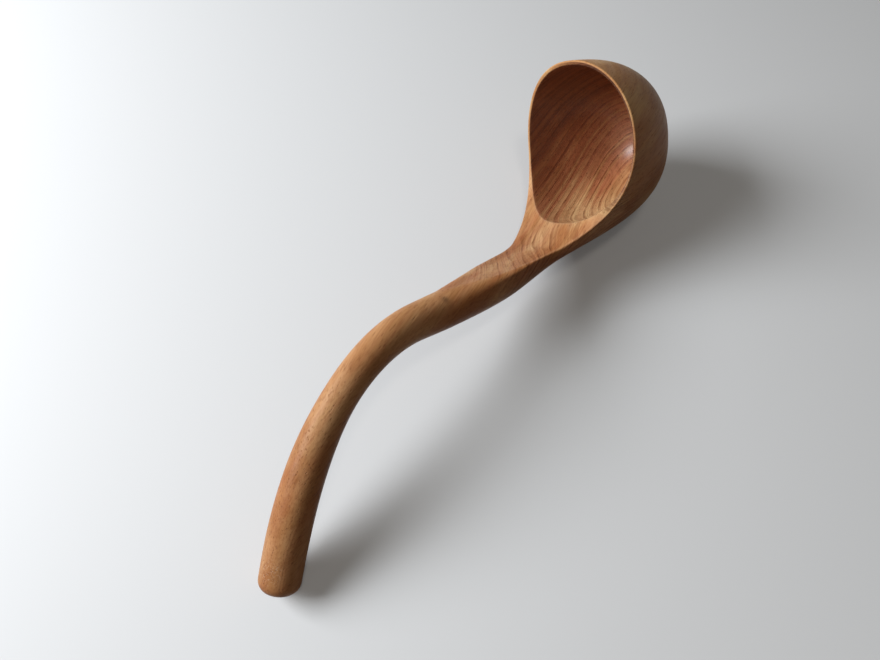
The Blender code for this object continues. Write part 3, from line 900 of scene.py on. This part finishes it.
class Grain:
    """What the steps of the wood share: places in the log, its rings and lines, and the surface's masks."""

    def __init__(self, bench, look):
        self.bench = bench
        turn = log_turn()
        self.here = bench.place("ShaderNodeTexCoord", {}).outputs["Object"]
        middle = turn @ Vector(LOG_MIDDLE)
        feeds = {"Vector": self.here, "Location": -middle, "Rotation": turn.to_euler("XYZ")}
        self.log = bench.place("ShaderNodeMapping", feeds, vector_type="POINT").outputs["Vector"]
        self.along = bench.place("ShaderNodeSeparateXYZ", {"Vector": self.log}).outputs["Z"]
        self.radius = self.wavering_radius()
        self.edge, self.hollow, self.rim = [bench.attribute(name) for name in MASKS]
        self.neck = bench.times(bench.rise(self.along, *NECK_BEGINS), bench.rise(self.along, *NECK_ENDS))
        # Pale wood low in the bowl, partly painted light that brightens this inner wall where it faces away
        # from the lamps
        self.pale_wood_and_painted_light = bench.times(self.zone(PALE_OUT, PALE_ALONG), self.hollow)
        self.broad = bench.marks(bench.bands(self.radius, BROAD_BANDS), BROAD_BANDS)
        self.fibres = bench.noise(self.log, FIBRES)
        self.ring, self.fine = self.yearly_lines(look.ring_width)

        shown = bench.most(self.hollow, bench.times(self.neck, LINES_ON_NECK))
        shown = bench.between(LINES_ON_HANDLE, 1.0, shown)
        broken = bench.marks(bench.noise(self.log, BREAKS), BREAKS)
        shown = bench.times(shown, bench.between(LINES_WHERE_BROKEN, 1.0, broken))
        self.ring_share = bench.times(bench.times(self.ring, look.ring_depth), shown)
        self.fine_share = bench.times(self.fine, bench.between(FINE_LINES_LEAST, FINE_LINES_MOST, shown))

    def zone(self, out, along):
        """1 where a stretch outward from the log's middle and one along its fibres are both full."""
        return self.bench.times(self.bench.rise(self.radius, *out), self.bench.rise(self.along, *along))

    def wavering_radius(self):
        """Distance from the log's middle line, after each point is shifted by the wavers."""
        bench = self.bench
        grown = self.log
        for pull, scale, reach in WAVERS:
            shift = bench.waver(bench.stretch(self.log, 1, 1, pull), scale, reach)
            grown = bench.vector_math("ADD", grown, shift).outputs[0]
        flat = bench.stretch(grown, 1, 1, 0)
        return bench.place("ShaderNodeVectorMath", {0: flat}, operation="LENGTH").outputs["Value"]

    def yearly_lines(self, ring_width):
        """The late wood of each year, darker in some years than in others, and fine lines beside it.

        Years are (radius - swell) / ring width + uneven growth, and a ring lies at the end of each.
        """
        bench = self.bench
        swell = bench.times(bench.rise(self.along, *SWELL_ALONG), SWELL)
        grown_out = bench.minus(self.radius, swell)
        uneven = bench.times(bench.bands(self.radius, UNEVEN_GROWTH), UNEVEN_YEARS)
        years = bench.plus(bench.math("DIVIDE", grown_out, ring_width), uneven)
        phase = bench.math("FRACT", years)
        late = bench.times(bench.rise(phase, *LATE_WOOD_BEGINS), bench.rise(phase, *LATE_WOOD_ENDS))
        year = bench.math("FLOOR", years)
        chance = bench.place("ShaderNodeTexWhiteNoise", {"W": year}, noise_dimensions="1D").outputs["Value"]
        ring = bench.times(late, bench.between(WEAKEST_RING, 1.0, chance))
        return ring, bench.marks(bench.bands(grown_out, FINE_LINES), FINE_LINES)


def redness(bench, grain):
    """How red the wood is, from 0 to 1: most at the tip and in the heart, and varied by the broad bands."""
    at_tip = bench.times(bench.rise(grain.along, *TIP_ALONG), RED_AT_TIP)
    in_heart = bench.times(grain.zone(HEART_OUT, HEART_ALONG), RED_IN_HEART)
    red = bench.times(bench.most(at_tip, in_heart), bench.between(RED_KEPT_OUTSIDE, 1.0, grain.hollow))
    calmer = bench.minus(BANDS_IN_BOWL, bench.times(grain.pale_wood_and_painted_light, BANDS_LOST_WHERE_PALE))
    strength = bench.times(bench.most(grain.hollow, bench.times(grain.neck, BANDS_ON_NECK)), calmer)
    banded = bench.times(bench.minus(grain.broad, NOISE_MIDDLE), bench.plus(strength, BANDS_ALL_OVER))
    red = bench.plus(red, banded)
    red = bench.plus(red, bench.times(bench.rise(grain.along, *HANDLE_ALONG), RED_ON_HANDLE))
    red = bench.plus(red, RED_ALL_OVER)
    return bench.math("MINIMUM", bench.most(red, 0.0), 1.0)


def ground_colour(bench, grain, look):
    """Golden wood in patches, its pale zone low in the bowl that is partly painted light, painted light on
    the top of the bowl's outside, the red wood over it, and the darkest wood high in the bowl, partly painted
    shade.
    """
    patch = bench.marks(bench.noise(grain.log, PATCHES), PATCHES)
    colour = bench.blend(patch, (*look.pale, 1.0), (*look.golden, 1.0))
    # Partly pale wood, partly painted light on the bowl's lower inner wall
    colour = bench.cover(grain.pale_wood_and_painted_light, colour, PALE_WOOD_AND_PAINTED_LIGHT)
    # Painted light: the top of the bowl's outside painted paler, as if lit from above
    top = bench.times(grain.zone(PAINTED_LIGHT_OUT, PAINTED_LIGHT_ALONG), bench.minus(1.0, grain.hollow))
    colour = bench.cover(top, colour, PAINTED_LIGHT_ON_TOP)
    colour = bench.blend(redness(bench, grain), colour, (*look.red, 1.0))
    # Darkest heart wood high in the bowl, partly painted shade on the inner wall that faces away from the
    # window
    dark = bench.times(grain.zone(DARK_AND_SHADED_OUT, DARK_AND_SHADED_ALONG), grain.hollow)
    dark = bench.times(dark, bench.between(DARK_BETWEEN_BANDS, DARK_IN_BANDS, grain.broad))
    return bench.blend(dark, colour, (*look.dark, 1.0))


def draw_lines(bench, grain, pore, colour):
    """Mottle, rings, fine lines, fibres and pores, each multiplied into the colour."""
    mottle = bench.marks(bench.noise(grain.log, MOTTLE), MOTTLE)
    mottle = bench.times(mottle, bench.between(MOTTLE_OUTSIDE, MOTTLE_IN_BOWL, grain.hollow))
    streaks = bench.marks(grain.fibres, FIBRES)
    streaks = bench.times(streaks, bench.between(FIBRES_OUTSIDE, FIBRES_IN_BOWL, grain.hollow))
    pores = bench.times(pore, bench.between(PORES_OUTSIDE, PORES_IN_BOWL, grain.hollow))
    lines = (
        (mottle, MOTTLE_COLOUR),
        (grain.ring_share, RING_COLOUR),
        (grain.fine_share, FINE_LINE_COLOUR),
        (streaks, FIBRE_COLOUR),
        (pores, PORE_COLOUR),
    )
    for share, line_colour in lines:
        colour = bench.blend(share, colour, line_colour, "MULTIPLY")
    return colour


def marks_wear_and_painted_light(bench, grain, colour):
    """The knot, the speckled spot, the held end of the handle, end grain, worn edges that are partly a
    painted highlight, and painted shade on the rim.
    """
    colour = bench.cover(bench.near(grain.here, *KNOT), colour, KNOT_SHADE)
    specks = bench.marks(bench.noise(grain.here, SPECKS), SPECKS)
    colour = bench.cover(bench.times(specks, bench.near(grain.here, *SPECKLED_SPOT)), colour, SPECK_SHADE)
    colour = bench.darken(bench.rise(grain.along, *HELD_ALONG), colour, HELD_SHADE)
    end_grain = bench.rise(bench.attribute("end_grain"), *END_GRAIN_SHOWS)
    colour = bench.darken(end_grain, colour, END_GRAIN_SHADE)
    # Lighter edges: partly worn wood, partly a painted highlight
    colour = bench.cover(grain.edge, colour, WEAR_AND_PAINTED_HIGHLIGHT)
    # Painted shade on the rim's narrow flat
    return bench.darken(grain.rim, colour, PAINTED_RIM_SHADE)


def added_up(bench, start, *terms):
    """start + the sum of value * weight."""
    total = start
    for value, weight in terms:
        total = bench.plus(total, bench.times(value, weight))
    return total


def make_wood(look):
    """Oiled wood, solid all through: rings around the log's middle, fibres along it, and pores."""
    material = bpy.data.materials.new("oiled_wood")
    material.use_nodes = True
    shader = material.node_tree.nodes["Principled BSDF"]
    join = material.node_tree.links.new
    bench = NodeBench(material.node_tree)
    grain = Grain(bench, look)

    feeds = {"Vector": bench.stretch(grain.log, 1, 1, PORE_PULL), "Scale": PORE_SCALE}
    cells = bench.place("ShaderNodeTexVoronoi", feeds)
    chance = bench.place("ShaderNodeSeparateColor", {"Color": cells.outputs["Color"]}).outputs[0]
    pore = bench.times(bench.rise(cells.outputs["Distance"], *PORE_EDGE), bench.rise(chance, *PORES_KEPT))

    colour = ground_colour(bench, grain, look)
    colour = draw_lines(bench, grain, pore, colour)
    colour = marks_wear_and_painted_light(bench, grain, colour)
    join(colour, shader.inputs["Base Color"])

    hand_work = bench.noise(grain.log, HAND_WORK)
    least = look.roughness - DULL_HAND_WORK / 2
    dull = added_up(bench, least, (grain.ring, DULL_RINGS), (hand_work, DULL_HAND_WORK), (pore, DULL_PORES))
    join(dull, shader.inputs["Roughness"])

    lines = bench.plus(grain.ring_share, grain.fine_share)
    relief = ((pore, PORE_HEIGHT), (grain.fibres, FIBRE_HEIGHT), (hand_work, HAND_WORK_HEIGHT))
    height = added_up(bench, bench.times(lines, LINE_HEIGHT), *relief)
    bump = bench.place("ShaderNodeBump", {"Height": height, "Strength": 1.0, "Distance": 1.0})
    join(bump.outputs["Normal"], shader.inputs["Normal"])

    join(bench.times(bench.minus(grain.hollow, grain.rim), COAT), shader.inputs["Coat Weight"])
    shader.inputs["Coat Roughness"].default_value = COAT_ROUGHNESS
    shader.inputs["Specular IOR Level"].default_value = SHINE
    shader.inputs["Specular Tint"].default_value = SHINE_TINT
    return material


class LADLE_OT_carve(bpy.types.Operator):
    """Carve the ladle's fine surface and lay it where its solid lies"""

    bl_idname = "ladle.carve"
    bl_label = "Carve ladle"

    def execute(self, context):
        scene = context.scene
        points, faces, marks = ladle_surface(scene.ladle_sizes)
        matrix = np.array(laid_down())
        points = points @ matrix[:3, :3].T + matrix[:3, 3]
        # The resting flats, where the wood would reach below the table
        points[:, 2] = np.maximum(points[:, 2], 0.0)
        points, corners, sides, marks = weld(points, faces, marks)
        mesh = make_mesh("carved_ladle", points, corners, sides)
        for column, name in enumerate(MASKS):
            mark_points(mesh, name, marks[:, column])
        turn_outward(mesh)
        mark_points(mesh, "end_grain", end_grain_of(mesh))
        mesh.materials.append(make_wood(scene.ladle_wood))
        ladle = place_object("carved_ladle", mesh)
        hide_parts("ladle")
        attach(ladle, "root")
        return {"FINISHED"}


# The floor's half size in metres, its dullness, how much it glows for the camera alone, and the room's light
FLOOR_HALF_SIZE = 6.0
FLOOR_ROUGHNESS = 0.7
FLOOR_GLOW = 0.12
ROOM_COLOUR = (1.0, 0.80, 0.60)

# The lamps: colour, size and place, and what both face
WINDOW = ((1.0, 1.03, 1.08), (0.7, 0.5), (-0.50, 0.80, 0.62))
CEILING = ((1.0, 0.92, 0.84), (0.16, 0.16), (-0.16, -0.20, 1.00))
LAMPS_FACE = (0.05, 0.0, 0.03)

# The camera, with its lens and sensor in millimetres and its turns in degrees
LENS = 27.589
SENSOR_WIDTH = 36.0
CAMERA_PLACE = (-0.152535, -0.086145, 0.295264)
CAMERA_TURNS = (30.3088, -0.6542, -54.3552)


def rays_that_see(bench):
    """1 for the camera's own rays, and 1 for these and for rays off shiny or through clear things."""
    path = bench.place("ShaderNodeLightPath", {})
    camera_ray = path.outputs["Is Camera Ray"]
    seen = bench.most(camera_ray, path.outputs["Is Glossy Ray"])
    return camera_ray, bench.most(seen, path.outputs["Is Transmission Ray"])


def make_room(look):
    """A room that looks pale and gives a little warm light from all round."""
    world = bpy.data.worlds.new("room")
    world.use_nodes = True
    bench = NodeBench(world.node_tree)
    seen = rays_that_see(bench)[1]
    light = tuple(part * look.room for part in ROOM_COLOUR)
    colour = bench.blend(seen, (*light, 1.0), (*look.backdrop, 1.0))
    background = world.node_tree.nodes["Background"]
    world.node_tree.links.new(colour, background.inputs["Color"])
    background.inputs["Strength"].default_value = 1.0
    return world


def make_floor(look):
    """A plain pale floor for the camera, which throws little light back up."""
    material = bpy.data.materials.new("pale_floor")
    material.use_nodes = True
    shader = material.node_tree.nodes["Principled BSDF"]
    bench = NodeBench(material.node_tree)
    camera_ray, seen = rays_that_see(bench)
    colour = bench.blend(seen, (*look.floor_bounce, 1.0), (*look.floor, 1.0))
    glow = bench.blend(camera_ray, (0.0, 0.0, 0.0, 1.0), (*look.floor, 1.0))
    material.node_tree.links.new(colour, shader.inputs["Base Color"])
    shader.inputs["Roughness"].default_value = FLOOR_ROUGHNESS
    material.node_tree.links.new(glow, shader.inputs["Emission Color"])
    shader.inputs["Emission Strength"].default_value = FLOOR_GLOW
    return material


def add_lamp(name, power, colour, size, place):
    """A soft rectangle of light that faces the ladle."""
    lamp = bpy.data.lights.new(name, "AREA")
    lamp.shape = "RECTANGLE"
    lamp.size, lamp.size_y = size
    lamp.energy = power
    lamp.color = colour
    holder = bpy.data.objects.new(name, lamp)
    holder.location = place
    aim = Vector(LAMPS_FACE) - holder.location
    holder.rotation_euler = aim.to_track_quat("-Z", "Y").to_euler()
    bpy.context.scene.collection.objects.link(holder)


class LADLE_OT_stage(bpy.types.Operator):
    """Set out the floor, the lights and the camera"""

    bl_idname = "ladle.stage"
    bl_label = "Set the stage"

    def execute(self, context):
        scene = context.scene
        look = scene.ladle_stage
        corners = FLOOR_HALF_SIZE * np.array([(-1, -1, 0), (1, -1, 0), (1, 1, 0), (-1, 1, 0)], dtype=float)
        floor = place_object("floor", make_mesh("floor", corners, np.arange(4), np.array([4])))
        floor.data.materials.append(make_floor(look))

        add_lamp("window", look.window, *WINDOW)
        add_lamp("ceiling", look.ceiling, *CEILING)
        scene.world = make_room(look)

        camera_data = bpy.data.cameras.new("camera")
        camera_data.sensor_width = SENSOR_WIDTH
        camera_data.lens = LENS
        camera = bpy.data.objects.new("camera", camera_data)
        camera.location = CAMERA_PLACE
        camera.rotation_euler = Euler([math.radians(turn) for turn in CAMERA_TURNS], "XYZ")
        scene.collection.objects.link(camera)
        scene.camera = camera
        scene.view_settings.view_transform = "Standard"
        return {"FINISHED"}


class LADLE_PT_panel(bpy.types.Panel):
    """Lists the steps and their settings in the sidebar"""

    bl_idname = "LADLE_PT_panel"
    bl_label = "Ladle"
    bl_space_type = "VIEW_3D"
    bl_region_type = "UI"
    bl_category = "Ladle"

    def draw(self, context):
        layout = self.layout
        for settings in ("ladle_sizes", "ladle_wood", "ladle_stage"):
            group = getattr(context.scene, settings)
            box = layout.box()
            for name in group.__annotations__:
                box.prop(group, name)
        layout.operator(LADLE_OT_carve.bl_idname)
        layout.operator(LADLE_OT_stage.bl_idname)


CLASSES = (LadleSizes, WoodLook, StageLook, LADLE_OT_carve, LADLE_OT_stage, LADLE_PT_panel)


def register():
    for entry in CLASSES:
        bpy.utils.register_class(entry)
    bpy.types.Scene.ladle_sizes = bpy.props.PointerProperty(type=LadleSizes)
    bpy.types.Scene.ladle_wood = bpy.props.PointerProperty(type=WoodLook)
    bpy.types.Scene.ladle_stage = bpy.props.PointerProperty(type=StageLook)


def unregister():
    del bpy.types.Scene.ladle_stage
    del bpy.types.Scene.ladle_wood
    del bpy.types.Scene.ladle_sizes
    for entry in reversed(CLASSES):
        bpy.utils.unregister_class(entry)


def main():
    register()
    bpy.ops.ladle.carve()
    bpy.ops.ladle.stage()


if __name__ == "__main__":
    main()
